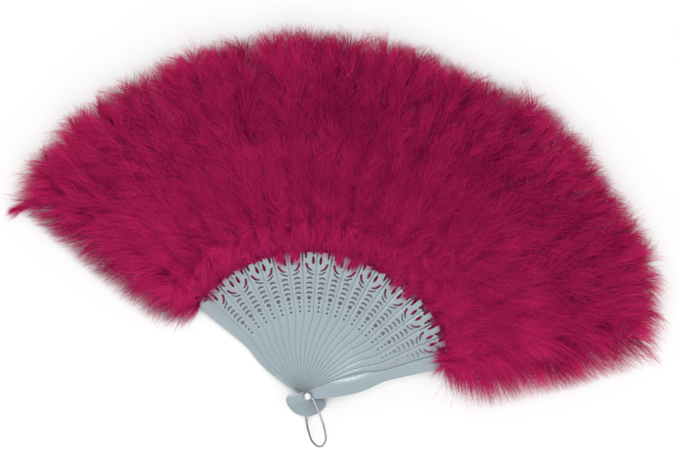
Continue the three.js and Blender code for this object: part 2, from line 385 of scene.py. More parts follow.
def quadratic(start, control, end):
    start, control, end = (Vector(point) for point in (start, control, end))
    return cubic(start, start.lerp(control, 2 / 3), end.lerp(control, 2 / 3), end)


def mirrored(points):
    return [(-x, y) for x, y in reversed(points)]


def round_hole(y, diameter, sides):
    angles = [2 * math.pi * k / sides for k in range(sides)]
    return [(diameter / 2 * math.cos(a), y + diameter / 2 * math.sin(a)) for a in angles]


# %% Edges of a stick
def blade_edge(blade_half, neck_half):
    """Right-hand edge from the tail's end up to the neck; the shares place the handles of its curves."""
    fall = NECK_RADIUS - BLADE_RADIUS
    edge = [(0, -TAIL_LENGTH)]
    edge += quadratic(edge[-1], (TAIL_HALF, -TAIL_LENGTH), (TAIL_HALF, -0.7 * TAIL_LENGTH))
    edge += quadratic(edge[-1], (WAIST_HALF, -0.35 * TAIL_LENGTH), (WAIST_HALF, 0))
    edge += cubic(
        edge[-1], (WAIST_HALF, 0.3 * BLADE_RADIUS), (blade_half, 0.5 * BLADE_RADIUS), (blade_half, BLADE_RADIUS),
    )
    edge += cubic(
        edge[-1], (blade_half, BLADE_RADIUS + 0.5 * fall),
        (neck_half, NECK_RADIUS - 0.35 * fall), (neck_half, NECK_RADIUS),
    )
    return edge


def slip_edge(foot):
    """The narrow strip that carries the plume, from its right foot round its end to its left foot."""
    right = [(SLIP_HALF, foot), (SLIP_END_HALF, slip_end)]
    return right + mirrored(right)


def crest_point(across, up):
    """Place on the crest: across from the leaf's edge (-1) to the palmette's seam (1), up from the lace's base."""
    return across * head_half(leaf_base + LEAF_HEIGHT / 2), leaf_base + up * LEAF_HEIGHT


def crest_curve(*places):
    start, control, end = (crest_point(*place) for place in places)
    return [start] + quadratic(start, control, end)


def crest_edge():
    """Half a palmette on the right, a notch, half a pointed leaf on the left."""
    edge = [(head_half(leaf_base), leaf_base)]
    edge += crest_curve((1, 0.9), (0.8, 1.05), (0.6, 0.86))
    edge += slip_edge(crest_point(0, 0.84)[1])
    edge += crest_curve((-0.42, 0.74), (-0.46, 0.56), (-0.64, 0.7))
    edge += [crest_point(-0.72, 0.86), crest_point(-0.92, 1), (-head_half(leaf_base), leaf_base)]
    return edge


# %% Holes of the lace
def bar_slot(y):
    """Short arched slot across the stick."""
    left, top, right = (-BAR_WIDTH / 2, y), (0, y + 2 * BAR_ARCH), (BAR_WIDTH / 2, y)
    lower = [left] + quadratic(left, top, right)
    return lower + [(x, y_low + BAR_HEIGHT) for x, y_low in reversed(lower)]


def palmette_cuts(side):
    """A drop between the petals, a crescent that carries them like a bowl, and a thin arc below."""
    drop = crest_curve((0.28, 0.5), (0.47, 0.2), (0.66, 0.5)) + crest_curve((0.65, 0.58), (0.6, 0.7), (0.47, 0.79))
    drop += crest_curve((0.47, 0.79), (0.34, 0.7), (0.29, 0.58))[1:]
    crescent = crest_curve((-0.63, 0.41), (-0.46, 0.05), (0.36, 0.03))
    crescent += crest_curve((0.33, 0.08), (-0.14, 0.13), (-0.37, 0.42))
    arc = crest_curve((-0.35, 0), (0, -0.17), (0.54, -0.17))
    arc += crest_curve((0.54, -0.12), (0.07, -0.11), (-0.35, 0.07))
    return [cut if side > 0 else mirrored(cut) for cut in (drop, crescent, arc)]


def lace_holes(side):
    holes = [round_hole(0, PIVOT_HOLE, PIVOT_SIDES), round_hole(ROW_RADIUS, ROW_HOLE, ROW_SIDES)]
    holes += palmette_cuts(side)
    holes += [round_hole(ROW_RADIUS - k * PIP_STEP, PIP_HOLE, PIP_SIDES) for k in range(1, PIP_COUNT + 1)]
    holes += [bar_slot(ROW_RADIUS + ROW_HOLE + k * BAR_STEP) for k in range(BAR_COUNT)]
    return holes


print("holes in a stick:", len(lace_holes(1)))

# %% [markdown]
# A moulded plate is never quite flat: it swells a little towards its middle, which draws a soft streak of light
# along it. Straight cuts with Bisect give the filled faces some points across their width, which can then be lifted.

# %% Plate from a flat curve
EDGE_ROUNDING = 0.3
CROWN_CUTS = 5
CROWN_START = 10
CROWN_RISE = 16
CROWN_SPREAD = 22
CROWN_LEAST = 0.4
TAIL_FLAT = 4.5
TAIL_CROWN = 0.26
WELD = 0.002 * MM


def select_only(item):
    bpy.ops.object.select_all(action="DESELECT")
    item.select_set(True)
    bpy.context.view_layer.objects.active = item


def crowned(across, along, half, crown):
    """Lift of a point of a plate: none at the rivet, most on the widest part of the blade; the tail swells too."""
    if along < -TAIL_FLAT:
        rise = min((-along - TAIL_FLAT) / TAIL_FLAT, 1)
        return TAIL_CROWN * rise * max(1 - (across / TAIL_HALF) ** 2, 0)
    rise = min(max((along - CROWN_START) / CROWN_RISE, 0), 1)
    swell = CROWN_LEAST + (1 - CROWN_LEAST) * math.exp(-(((along - BLADE_RADIUS) / CROWN_SPREAD) ** 2))
    return crown * rise * swell * max(1 - (across / half) ** 2, 0)


def moulded_plate(name, outline, holes, thickness, half, crown):
    """Pierced plate with rounded edges, its back on z = 0; thickness, half and crown are in millimetres."""
    curve = bpy.data.curves.new(name, "CURVE")
    curve.dimensions = "2D"
    curve.fill_mode = "BOTH"
    for points in [outline, *holes]:
        spline = curve.splines.new("POLY")
        spline.points.add(len(points) - 1)
        for point, (x, y) in zip(spline.points, points):
            point.co = (x * MM, y * MM, 0, 1)
        spline.use_cyclic_u = True
    curve.bevel_depth = EDGE_ROUNDING * MM
    curve.bevel_resolution = 1
    curve.offset = -EDGE_ROUNDING * MM
    curve.extrude = (thickness / 2 - EDGE_ROUNDING) * MM
    plate = bpy.data.objects.new(name, curve)
    bpy.context.collection.objects.link(plate)
    plate.location.z = thickness / 2 * MM
    select_only(plate)
    bpy.ops.object.convert(target="MESH")
    bpy.ops.object.transform_apply(location=True, rotation=True, scale=True)
    bpy.ops.object.mode_set(mode="EDIT")
    bpy.ops.mesh.select_all(action="SELECT")
    bpy.ops.mesh.remove_doubles(threshold=WELD)
    for k in range(1, CROWN_CUTS + 1):
        cut = half * (2 * k / (CROWN_CUTS + 1) - 1) * MM
        bpy.ops.mesh.select_all(action="SELECT")
        bpy.ops.mesh.bisect(plane_co=(cut, 0, 0), plane_no=(1, 0, 0))
    bpy.ops.mesh.select_all(action="SELECT")
    bpy.ops.mesh.normals_make_consistent(inside=False)
    bpy.ops.object.mode_set(mode="OBJECT")
    for vertex in plate.data.vertices:
        vertex.co.z += crowned(vertex.co.x / MM, vertex.co.y / MM, half, crown) * MM
    bpy.ops.object.shade_smooth_by_angle(angle=math.radians(40))
    modifier = plate.modifiers.new("even_faces", "WEIGHTED_NORMAL")
    modifier.keep_sharp = True
    bpy.ops.object.modifier_apply(modifier=modifier.name)
    plate.data.materials.append(stick_plastic)
    return plate


# %% Two patterns of inner stick, and the guard
STICK_THICKNESS = 0.8
GUARD_THICKNESS = 1.4
STICK_CROWN = 0.28
GUARD_CROWN = 0.8


def inner_pattern(side):
    edge = blade_edge(BLADE_HALF, head_half(NECK_RADIUS))
    crest = crest_edge()
    crest = crest if side > 0 else mirrored(crest)
    outline = edge + crest + mirrored(edge)[:-1]
    name = "pattern_right" if side > 0 else "pattern_left"
    return moulded_plate(name, outline, lace_holes(side), STICK_THICKNESS, BLADE_HALF, STICK_CROWN)


def guard_pattern():
    shoulder = head_half(leaf_base)
    edge = blade_edge(GUARD_HALF, GUARD_NECK_HALF) + [(shoulder, leaf_base)]
    edge += quadratic((shoulder, leaf_base), (shoulder, leaf_tip), (SLIP_HALF, leaf_tip))[:-1]
    outline = edge + slip_edge(leaf_tip) + mirrored(edge)[:-1]
    holes = [round_hole(0, PIVOT_HOLE, PIVOT_SIDES)]
    return moulded_plate("pattern_guard", outline, holes, GUARD_THICKNESS, GUARD_HALF, GUARD_CROWN)


patterns = {1: inner_pattern(1), -1: inner_pattern(-1), 0: guard_pattern()}
for pattern in patterns.values():
    print(pattern.name, len(pattern.data.polygons), "faces")

# %% [markdown]
# The three patterns are copied to their places. Neighbouring sticks have their half palmette on opposite edges,
# so that two sticks together make a whole one. The back guard is the same moulding as the front one, turned over.

# %% Sticks in their places
def placed_copy(pattern, name, turn, height, face_down=False):
    select_only(pattern)
    bpy.ops.object.duplicate()
    copy = bpy.context.object
    copy.name = name
    copy.data.name = name
    copy.rotation_euler = (0, math.pi if face_down else 0, 0)
    copy.location.z = height
    bpy.ops.object.transform_apply(location=True, rotation=True, scale=True)
    copy.rotation_euler.z = turn
    bpy.ops.object.transform_apply(location=True, rotation=True, scale=True)
    return copy


for layer in range(FRONT_LAYER + 1):
    node, _, body = layer_names(layer)
    low, high = layer_heights(layer)
    is_guard = layer in (0, FRONT_LAYER)
    pattern = patterns[0 if is_guard else 1 if layer % 2 == 0 else -1]
    turned_over = layer == 0
    stick = placed_copy(pattern, "moulded_" + node, layer_turn(layer), high if turned_over else low, turned_over)
    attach(stick, body)
    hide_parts(node)
for pattern in patterns.values():
    bpy.data.objects.remove(pattern)
print("sticks placed:", FRONT_LAYER + 1)

# %% [markdown]
# The rivet is a turned pin with a domed head in front and a flat one behind. Its half profile is drawn once,
# and Spin turns it round the axis, as a lathe would. A small lip round the dome catches the light.

# %% Rivet
SHANK_RADIUS = 1.5
HEAD_RADIUS = 3.8
BACK_HEAD = 1.4
FRONT_HEAD = 1.9
HEAD_ROUNDING = 0.6
CHAMFER = 0.15
LIP_HEIGHT = 0.4
LIP_STEP = 0.3
SPIN_STEPS = 48
rivet_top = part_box("rivet")[1].z / MM
front_head_z = rivet_top - FRONT_HEAD


def weld_and_smooth(angle):
    """Welds the active mesh's doubled points, turns its faces outward and smooths the edges blunter than the angle."""
    bpy.ops.object.mode_set(mode="EDIT")
    bpy.ops.mesh.select_all(action="SELECT")
    bpy.ops.mesh.remove_doubles(threshold=WELD)
    bpy.ops.mesh.normals_make_consistent(inside=False)
    bpy.ops.object.mode_set(mode="OBJECT")
    bpy.ops.object.shade_smooth_by_angle(angle=angle)


profile = [(0, 0), (HEAD_RADIUS - HEAD_ROUNDING, 0)]
profile += quadratic(profile[-1], (HEAD_RADIUS, 0), (HEAD_RADIUS, HEAD_ROUNDING))
profile += [(HEAD_RADIUS, BACK_HEAD - CHAMFER), (HEAD_RADIUS - CHAMFER, BACK_HEAD)]
profile += [(SHANK_RADIUS, BACK_HEAD), (SHANK_RADIUS, front_head_z)]
profile += [(HEAD_RADIUS - CHAMFER, front_head_z), (HEAD_RADIUS, front_head_z + CHAMFER)]
profile += [(HEAD_RADIUS, front_head_z + LIP_HEIGHT), (HEAD_RADIUS - LIP_STEP, front_head_z + HEAD_ROUNDING)]
profile += quadratic(profile[-1], (HEAD_RADIUS - HEAD_ROUNDING, rivet_top), (0, rivet_top))
mesh = bpy.data.meshes.new("domed_rivet")
corners = [(x * MM, 0, z * MM) for x, z in profile]
mesh.from_pydata(corners, [(k, k + 1) for k in range(len(corners) - 1)], [])
rivet = bpy.data.objects.new("domed_rivet", mesh)
bpy.context.collection.objects.link(rivet)
select_only(rivet)
bpy.ops.object.mode_set(mode="EDIT")
bpy.ops.mesh.select_all(action="SELECT")
bpy.ops.mesh.spin(steps=SPIN_STEPS, angle=2 * math.pi, center=(0, 0, 0), axis=(0, 0, 1))
weld_and_smooth(angle=math.radians(35))
rivet.data.materials.append(bright_metal)
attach(rivet, "held_guard")
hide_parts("rivet")
print("rivet", len(rivet.data.polygons), "faces, top at", round(rivet_top, 1), "mm")

# %% [markdown]
# The bail is one bent wire: an eye round each end of the rivet, and a long loop that crosses from the front of the
# fan to its back below the tails. A smooth curve with a round bevel is wire by nature, so the bends are its points.

# %% Wire bail
WIRE_RADIUS = 0.8
BAIL_LENGTH = 40
BAIL_HALF = 6.3
BAIL_TURN = math.radians(27)
RUNNING_GAP = 0.3
EYE_POINTS = 8
EYE_TURN = math.radians(240)
SHOULDER_DEPTH = 0.45
SIDE_WIDTH = 0.95
BELLY_DROP = 0.16
CORNER_WIDTH = 0.72
CORNER_DEPTH = 0.7
CORNER_DROP = 0.34

bail_low, bail_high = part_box("bail")
front_eye_z = bail_high.z / MM - WIRE_RADIUS
back_eye_z = bail_low.z / MM + WIRE_RADIUS
eye = SHANK_RADIUS + RUNNING_GAP + WIRE_RADIUS
clear_of_tails = TAIL_LENGTH + 2 * WIRE_RADIUS + RUNNING_GAP
belly = (clear_of_tails + BAIL_LENGTH) / 2
drop = front_eye_z - back_eye_z

bends = []
for k in range(EYE_POINTS):
    angle = EYE_TURN * (1 - k / EYE_POINTS)
    bends.append((eye * math.cos(angle), eye * math.sin(angle), front_eye_z))
bends.append((eye, 0, front_eye_z))
bends.append(((eye + BAIL_HALF) / 2, -SHOULDER_DEPTH * clear_of_tails, front_eye_z))
bends.append((SIDE_WIDTH * BAIL_HALF, -clear_of_tails, front_eye_z))
bends.append((BAIL_HALF, -belly, front_eye_z - BELLY_DROP * drop))
corner_y = -belly - CORNER_DEPTH * (BAIL_LENGTH - belly)
bends.append((CORNER_WIDTH * BAIL_HALF, corner_y, front_eye_z - CORNER_DROP * drop))
behind = [(-x, y, front_eye_z + back_eye_z - z) for x, y, z in reversed(bends)]
bends += [(0, -BAIL_LENGTH, (front_eye_z + back_eye_z) / 2)] + behind

curve = bpy.data.curves.new("wire_bail", "CURVE")
curve.dimensions = "3D"
spline = curve.splines.new("BEZIER")
spline.bezier_points.add(len(bends) - 1)
for point, (x, y, z) in zip(spline.bezier_points, bends):
    point.co = (x * MM, y * MM, z * MM)
    point.handle_left_type = "AUTO"
    point.handle_right_type = "AUTO"
curve.resolution_u = 8
curve.bevel_depth = WIRE_RADIUS * MM
curve.bevel_resolution = 3
curve.use_fill_caps = True
bail = bpy.data.objects.new("wire_bail", curve)
bpy.context.collection.objects.link(bail)
bail.rotation_euler.z = BAIL_TURN
select_only(bail)
bpy.ops.object.convert(target="MESH")
bpy.ops.object.transform_apply(location=True, rotation=True, scale=True)
weld_and_smooth(angle=math.radians(50))
bail.data.materials.append(bright_metal)
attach(bail, "bail")
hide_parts("bail")
print("bail", len(bail.data.polygons), "faces")

# %% [markdown]
# Marabou is dyed down: soft barbs that stand off a thin quill on both sides, short of hooks, so they never lie flat.
# The colour is painted shade along each barb: darkest at the root, where light hardly gets in, and brightest at the
# free tip.
# Every barb carries its own shade, painted light included, and its own root-to-tip scale in a UV map, so one material
# colours them all.

# %% Dyed down, with painted shade along each barb
BARB_MAP = "OFBake"
ROOT_COLOUR = (0.345, 0.0066, 0.082)
MIDDLE_COLOUR = (0.61, 0.014, 0.15)
TIP_COLOUR = (0.81, 0.027, 0.222)
MIDDLE_PLACE = 0.45
SHADE_RANGE = (0.6, 1.6)
PURITY_RANGE = (1.012, 0.984)
ROUGHNESS_RANGE = (0.7, 0.9)


def mapped(tree, ends):
    """Node that maps 0 and 1 to two values."""
    return new_node(tree, "ShaderNodeMapRange", To_Min=ends[0], To_Max=ends[1])


dyed_down_painted_light = bpy.data.materials.new("dyed_down_painted_light")
dyed_down_painted_light.use_nodes = True
tree = dyed_down_painted_light.node_tree
shader = tree.nodes["Principled BSDF"]
shader.inputs["Sheen Weight"].default_value = 0.12
shader.inputs["Sheen Roughness"].default_value = 0.5
shader.inputs["Sheen Tint"].default_value = (1.0, 0.08, 0.32, 1)
shader.inputs["Specular IOR Level"].default_value = 0.05
barb_place = tree.nodes.new("ShaderNodeUVMap")
barb_place.uv_map = BARB_MAP
parts = tree.nodes.new("ShaderNodeSeparateXYZ")
# Painted shade along each barb: darkest at the root, brightest at the free tip.
painted_shade_along_barb = tree.nodes.new("ShaderNodeValToRGB")
painted_shade_along_barb.color_ramp.elements[0].color = (*ROOT_COLOUR, 1)
painted_shade_along_barb.color_ramp.elements[1].color = (*TIP_COLOUR, 1)
painted_shade_along_barb.color_ramp.elements.new(MIDDLE_PLACE).color = (*MIDDLE_COLOUR, 1)
shade = mapped(tree, SHADE_RANGE)
purity = mapped(tree, PURITY_RANGE)
tinted = tree.nodes.new("ShaderNodeHueSaturation")
rough = mapped(tree, ROUGHNESS_RANGE)
tree.links.new(barb_place.outputs["UV"], parts.inputs[0])
tree.links.new(parts.outputs["Y"], painted_shade_along_barb.inputs["Fac"])
tree.links.new(parts.outputs["X"], shade.inputs["Value"])
tree.links.new(parts.outputs["X"], purity.inputs["Value"])
tree.links.new(parts.outputs["Y"], rough.inputs["Value"])
tree.links.new(painted_shade_along_barb.outputs["Color"], tinted.inputs["Color"])
tree.links.new(shade.outputs["Result"], tinted.inputs["Value"])
tree.links.new(purity.outputs["Result"], tinted.inputs["Saturation"])
tree.links.new(tinted.outputs["Color"], shader.inputs["Base Color"])
tree.links.new(rough.outputs["Result"], shader.inputs["Roughness"])
print("down material reads the map", BARB_MAP)

# %% [markdown]
# One barb is a slender cone of three sides, cut across so that it can bend. It is the only shape in a plume,
# repeated thousands of times, so it has only seven faces. Particle hair would be quicker to place,
# but it isn't a mesh: the plume would vanish from an exported model.

# %% One barb
BARB_SIDES = 3
BARB_CUTS = (0.45,)
BARB_TAPER = 0.45
SHARPEST = 1e-6

bpy.ops.mesh.primitive_cone_add(vertices=BARB_SIDES, radius1=1, radius2=0, depth=1, location=(0, 0, 0.5))
barb = bpy.context.object
bpy.ops.object.transform_apply(location=True, rotation=True, scale=True)
bpy.ops.object.mode_set(mode="EDIT")
for height in BARB_CUTS:
    bpy.ops.mesh.select_all(action="SELECT")
    bpy.ops.mesh.bisect(plane_co=(0, 0, height), plane_no=(0, 0, 1))
bpy.ops.object.mode_set(mode="OBJECT")
barb_points = np.array([v.co for v in barb.data.vertices])
barb_points[:, :2] *= np.maximum(1 - barb_points[:, 2:], SHARPEST) ** (BARB_TAPER - 1)
barb_faces = [tuple(face.vertices) for face in barb.data.polygons]
bpy.data.objects.remove(barb)
print("one barb:", len(barb_points), "points,", len(barb_faces), "faces")

# %% [markdown]
# A stick carries several feathers: two long ones in front that part a little, one behind and one between, short ones
# that cover the foot, and tufts that stick out inwards over and under the lace. The two guards add more at the sides,
# and the back guard a pointed tuft at the corner. Barbs stand almost square off the foot of a quill and lie along
# its tip. They keep together in small locks, which give down its ragged, tufted edge.

# %% Kinds of feather, in millimetres and degrees
# The face is 1 for the front; the sweep is how far the barbs bend outwards along the fan.
# A barb has its full reach from the grown share of the quill on, and less towards the foot and the tip.
Feather = namedtuple(
    "Feather", "face start length crest tip barb locks foot_angle tip_angle sweep foot_reach grown tip_reach",
    defaults=(84, 40, 0.5, 0.8, 0.28, 0.95),
)
FEATHERS = {
    "front_long": Feather(1, 0, 150, 24, 22, 34, 165),
    "front_short": Feather(1, -1, 70, 26, 26, 30, 180),
    "between": Feather(0, 2, 152, 19, 19, 36, 150),
    "back_long": Feather(-1, 0, 148, 9, 13, 38, 100),
    "back_short": Feather(-1, -2, 58, 7, 8, 34, 40),
    "foot_lip": Feather(1, 4, 24, 28, 31, 24, 40, 160, 125, -0.3, 0.3, 1.0, 1.0),
    "foot_front": Feather(1, 1, 14, None, None, 10, 18, 120, 90, 0.0, 0.8, 0.28, 1.0),
    "foot_cover": Feather(1, 0, 10, None, None, 14, 26, 172, 140, -0.4, 0.8, 0.28, 1.0),
    "guard_cover": Feather(1, -1, 16, None, None, 19, 50, 160, 120, -0.4, 0.8, 0.28, 1.0),
    "foot_back": Feather(-1, -3, 16, None, None, 21, 44, 168, 130, -0.2, 0.8, 0.28, 1.0),
    "left_edge": Feather(0, -4, 144, 13, 15, 42, 190, 96, 42, 0.1, 0.6, 0.2, 0.75),
    "corner_tuft": Feather(0, 127, 25, 14, 12, 22, 70, 50, 4, 0.1, 0.9, 0.1, 0.2),
    "right_edge": Feather(0, -2, 142, 22, 20, 46, 190, 94, 44, 0.06, 0.6, 0.2, 0.75),
    "right_fringe": Feather(0, -2, 104, 20, 17, 36, 150, 92, 48, 0.0, 0.7, 0.2, 0.85),
}
print("kinds of feather:", len(FEATHERS))

# %% [markdown]
# Loose barbs would stray through the table, past the edge of the fan and into the next stick.
# Cutting them off would leave a hard line, so soft walls hold them: the further a point is past a wall,
# the less it gains. The hyperbolic tangent does this in one line, for the pile, the outline and the two sides.

# %% Soft walls round the down
PILE_TOP = 45.0
TOP_SOFTNESS = 12.0
TABLE_SOFTNESS = 5.0
OUTLINE_RADIUS = 261
OUTLINE_SOFTNESS = 12
SIDE_LIMIT = {0: 32, FRONT_LAYER: 38}
SIDE_SOFTNESS = 9
SIDE_GAP = 0.5
FACE_GAP = 0.35


def pressed(depth, softness):
    """Depth past a soft wall, which gives way less and less."""
    return np.where(depth > 0, softness * np.tanh(depth / softness), depth)


def kept_in_pile(z):
    """Presses heights softly between the table and the top of the pile."""
    top = PILE_TOP - TOP_SOFTNESS
    z = top + pressed(z - top, TOP_SOFTNESS)
    return TABLE_SOFTNESS - pressed(TABLE_SOFTNESS - z, TABLE_SOFTNESS)


def kept_in_outline(points, outline):
    """Presses points beyond the fan's outline back towards it, so the ends make a dense edge."""
    radius = np.linalg.norm(points[..., :2], axis=-1)
    kept = outline + pressed(radius - outline, OUTLINE_SOFTNESS)
    points[..., :2] *= (kept / radius)[..., None]


def kept_beside_guard(points, layer):
    """Does the same at the two straight sides of the fan, beyond the guards."""
    outward = np.sign(layer - INNER_STICKS / 2)
    limit = SIDE_LIMIT[layer]
    points[..., 0] = outward * (limit + pressed(points[..., 0] * outward - limit, SIDE_SOFTNESS))


def kept_on_stick(points, plate_z, face):
    """Holds the tufts at the foot clear of their plate, and of the neighbour that lies over or under them."""
    half = points[..., 1] * math.tan(pitch / 2) - SIDE_GAP
    across = points[..., 0] * face
    points[..., 0] = face * np.where(across > 0, half * np.tanh(across / half), across)
    clear = STICK_THICKNESS / 2 + FACE_GAP
    points[..., 2] = plate_z + face * np.maximum(face * (points[..., 2] - plate_z), clear)


print("the down lies between the table and", PILE_TOP, "mm")

# %% [markdown]
# A quill leaves its stick, rises or falls to a crest and ends at its tip. The quills of the back stay below their
# own plate, since they would lie over the next stick otherwise. Painted light makes the down a shade brighter towards
# both ends of the fan, where the pile thins out, and at its rim, where the light comes in from the side.

# %% Quills and shades
PLUME_FOOT = leaf_tip + 0.6
NEAR_PLATE = 2
CREST_SHARE = 0.35
PLAIN_TONE = 0.46
# Painted light: extra brightness of the down at the two ends of the fan and at its rim.
LEFT_PAINTED_LIGHT = 0.2
RIGHT_PAINTED_LIGHT = 0.18
RIM_PAINTED_LIGHT = 0.26
RIM_START = 0.72
TONE_LIMITS = (0.02, 0.98)
# Painted light for some kinds: the foot tufts are painted brighter, and the side feathers take back part of the
# brightness painted at the fan's ends.
PAINTED_LIGHT_SHIFT = {
    "left_edge": -0.3, "right_edge": -0.1, "right_fringe": -0.1,
    "foot_lip": 0.06, "foot_front": 0.08, "foot_cover": 0.12,
}


def smooth_step(x):
    x = np.clip(x, 0, 1)
    return x * x * (3 - 2 * x)


def unit(vectors):
    return vectors / np.linalg.norm(vectors, axis=-1, keepdims=True)


def side_of_fan(layer):
    """-1 for the back guard on the left, 1 for the front guard on the right."""
    return 2 * layer / FRONT_LAYER - 1


def layer_painted_light(layer):
    """Painted light: how much brighter a layer's down is painted than that of the fan's middle."""
    end = side_of_fan(layer)
    return RIGHT_PAINTED_LIGHT * end ** 2 if end > 0 else LEFT_PAINTED_LIGHT * -end


def quill_points(share, feather, lean, plate_z):
    """Places on a quill at shares of its length, in the stick's own millimetres."""
    near = plate_z + NEAR_PLATE * feather.face
    crest, tip = (near if height is None else height for height in (feather.crest, feather.tip))
    if feather.face < 0:
        crest, tip = min(crest, near), min(tip, near)
    rise = smooth_step(share / CREST_SHARE)
    settle = smooth_step((share - CREST_SHARE) / (1 - CREST_SHARE))
    z = plate_z + feather.face + (crest - plate_z - feather.face) * rise + (tip - crest) * settle
    y = PLUME_FOOT + feather.start + feather.length * share
    return np.stack([feather.length * share * math.tan(lean), y, z], axis=-1)


print("tones from", PLAIN_TONE, "in the middle to", PLAIN_TONE + LEFT_PAINTED_LIGHT, "at the left end")

# %% [markdown]
# Now the barbs of one feather. Each is a curve of four control points: its root on the quill, two handles and its end.
# Chance bends them all a little, and the barbs of a lock share most of that chance, or the down would look like fur.
# The random numbers come from one seeded source, always in the same order, so every run grows the same feather.

# %% Chance in the down
BARBS_IN_LOCK = 9
PLACE_SPREAD = 0.8
ANGLE_FALL = 0.8
TIP_WILDNESS = 0.6
SHRINK_START = 0.6
QUILL_STEP = 0.02
LIFT = {1: 0.72, 0: 0.1, -1: -0.35}
FOOT_LIFT = -0.9
BLOWN = 0.4
SINK = 0.2
GATHER = 0.16
END_SCATTER = 1.0
# For every quality of a barb: the spread that its lock shares, and the spread of its own.
SPREAD = {
    "angle": (0.18, 0.13), "lift": (0.35, 0.2), "reach": (0.08, 0.14), "drift": (0.28, 0.18),
    "sweep": (0.2, 0.1), "settle": (0.1, 0.12), "tone": (0.15, 0.12), "outline": (3, 3),
}


def lock_noise(rng, quality, locks):
    """One number for every barb of a feather."""
    by_lock, own = SPREAD[quality]
    shared = np.repeat(rng.normal(0, by_lock, locks), BARBS_IN_LOCK)
    return shared + rng.normal(0, own, len(shared))


print("qualities left to chance:", ", ".join(SPREAD))


# %% Curves of a feather's barbs
def barb_curves(rng, kind, plate_z, lean, layer):
    """Four control points for every barb of a feather, and the share of the quill at which it grows."""
    feather = FEATHERS[kind]
    locks = feather.locks
    count = locks * BARBS_IN_LOCK
    lock = np.repeat(np.arange(locks), BARBS_IN_LOCK)

    share = np.clip((lock + 0.5 + rng.normal(0, PLACE_SPREAD, count)) / locks, 0, 1)
    side = np.where(rng.permutation(locks) % 2 == 0, -1, 1)[lock]
    open_angle, shut_angle = math.radians(feather.foot_angle), math.radians(feather.tip_angle)
    angle = shut_angle + (open_angle - shut_angle) * (1 - share) ** ANGLE_FALL
    angle = angle + lock_noise(rng, "angle", locks) * (1 + TIP_WILDNESS * share)
    lift = FOOT_LIFT if kind == "foot_back" else LIFT[feather.face]
    lift = lift + lock_noise(rng, "lift", locks)
    reach = feather.foot_reach + (1 - feather.foot_reach) * smooth_step(share / feather.grown)
    shrink = smooth_step((share - SHRINK_START) / (1 - SHRINK_START))
    reach = reach * (1 - (1 - feather.tip_reach) * shrink)
    reach = feather.barb * reach * (1 + lock_noise(rng, "reach", locks))

    root = quill_points(share, feather, lean, plate_z)
    axis = unit(quill_points(share + QUILL_STEP, feather, lean, plate_z) - root)
    outward = np.stack([side * np.cos(lift), np.zeros(count), np.sin(lift)], axis=-1)
    first = unit(axis * np.cos(angle)[:, None] + outward * np.sin(angle)[:, None])
    drift = lock_noise(rng, "drift", locks) + (0 if feather.crest is None else BLOWN * side_of_fan(layer))
    sweep = feather.sweep + lock_noise(rng, "sweep", locks)
    settle = -SINK * feather.face + lock_noise(rng, "settle", locks)
    last = unit(0.5 * first + np.stack([drift, sweep, settle], axis=-1))

    reach = reach[:, None]
    end = root + (0.5 * first + 0.5 * last) * reach
    middle_of_lock = np.stack([np.bincount(lock, e) / BARBS_IN_LOCK for e in end.T], axis=-1)
    end = end + GATHER * (middle_of_lock[lock] - end) + rng.normal(0, END_SCATTER, end.shape)
    handle = root + first * reach / 3
    end_handle = end - last * reach / 3 + rng.normal(0, END_SCATTER, end.shape)
    barbs = np.stack([root, handle, end_handle, end], axis=1)
    if kind in ("foot_back", "foot_cover"):
        kept_on_stick(barbs, plate_z, feather.face)
    if layer in SIDE_LIMIT and kind != "corner_tuft":
        kept_beside_guard(barbs, layer)
    return barbs, share


# %% A whole feather
BARB_RADIUS = 0.15
QUILL_RADIUS = 0.7
QUILL_TONE = 0.3
PATCHES = 14
PATCH_SPREAD = 0.15
TUFT_SPREAD = 4


def feather_barbs(rng, kind, plate_z, lean, layer):
    """Control points of a feather's barbs and of its quill, with their radius, shade and the outline they keep to."""
    feather = FEATHERS[kind]
    barbs, share = barb_curves(rng, kind, plate_z, lean, layer)
    patches = np.interp(share * PATCHES, np.arange(PATCHES + 1), rng.normal(0, PATCH_SPREAD, PATCHES + 1))
    # The layer, kind and rim terms are painted light; the patches and the locks vary the tone at random.
    tone = PLAIN_TONE + PAINTED_LIGHT_SHIFT.get(kind, 0) + layer_painted_light(layer) + patches
    tone = tone + lock_noise(rng, "tone", feather.locks)
    if feather.crest is not None:
        tone = tone + RIM_PAINTED_LIGHT * smooth_step((share - RIM_START) / (1 - RIM_START))
    outline = OUTLINE_RADIUS + rng.normal(0, TUFT_SPREAD) + lock_noise(rng, "outline", feather.locks)

    quill = quill_points(np.array([0, 1 / 3, 2 / 3, 1]), feather, lean, plate_z)[None]
    radius = np.append(np.full(len(barbs), BARB_RADIUS), QUILL_RADIUS)
    tones = np.append(np.clip(tone, *TONE_LIMITS), QUILL_TONE)
    return np.concatenate([barbs, quill]), radius, tones, np.append(outline, OUTLINE_RADIUS)


trial = feather_barbs(np.random.default_rng(0), "front_long", 10, 0.0, 10)
print("one long feather:", len(trial[0]) - 1, "barbs and a quill")

# %% [markdown]
# A plume has eight thousand barbs or more. Adding them one by one through Blender's operators would take minutes,
# so all their points are worked out at once as arrays and handed to a mesh with foreach_set.
# The cone is laid along every curve: its height becomes the place on the curve, its width a ring round it.

# %% Mesh of many barbs
SKEW = (0.13, 0.21, 1.0)
TONE_WIDTH = 0.006
ROOT_PLACE = 0.03
TIP_SPAN = 0.95
ROUND_SPAN = 0.02


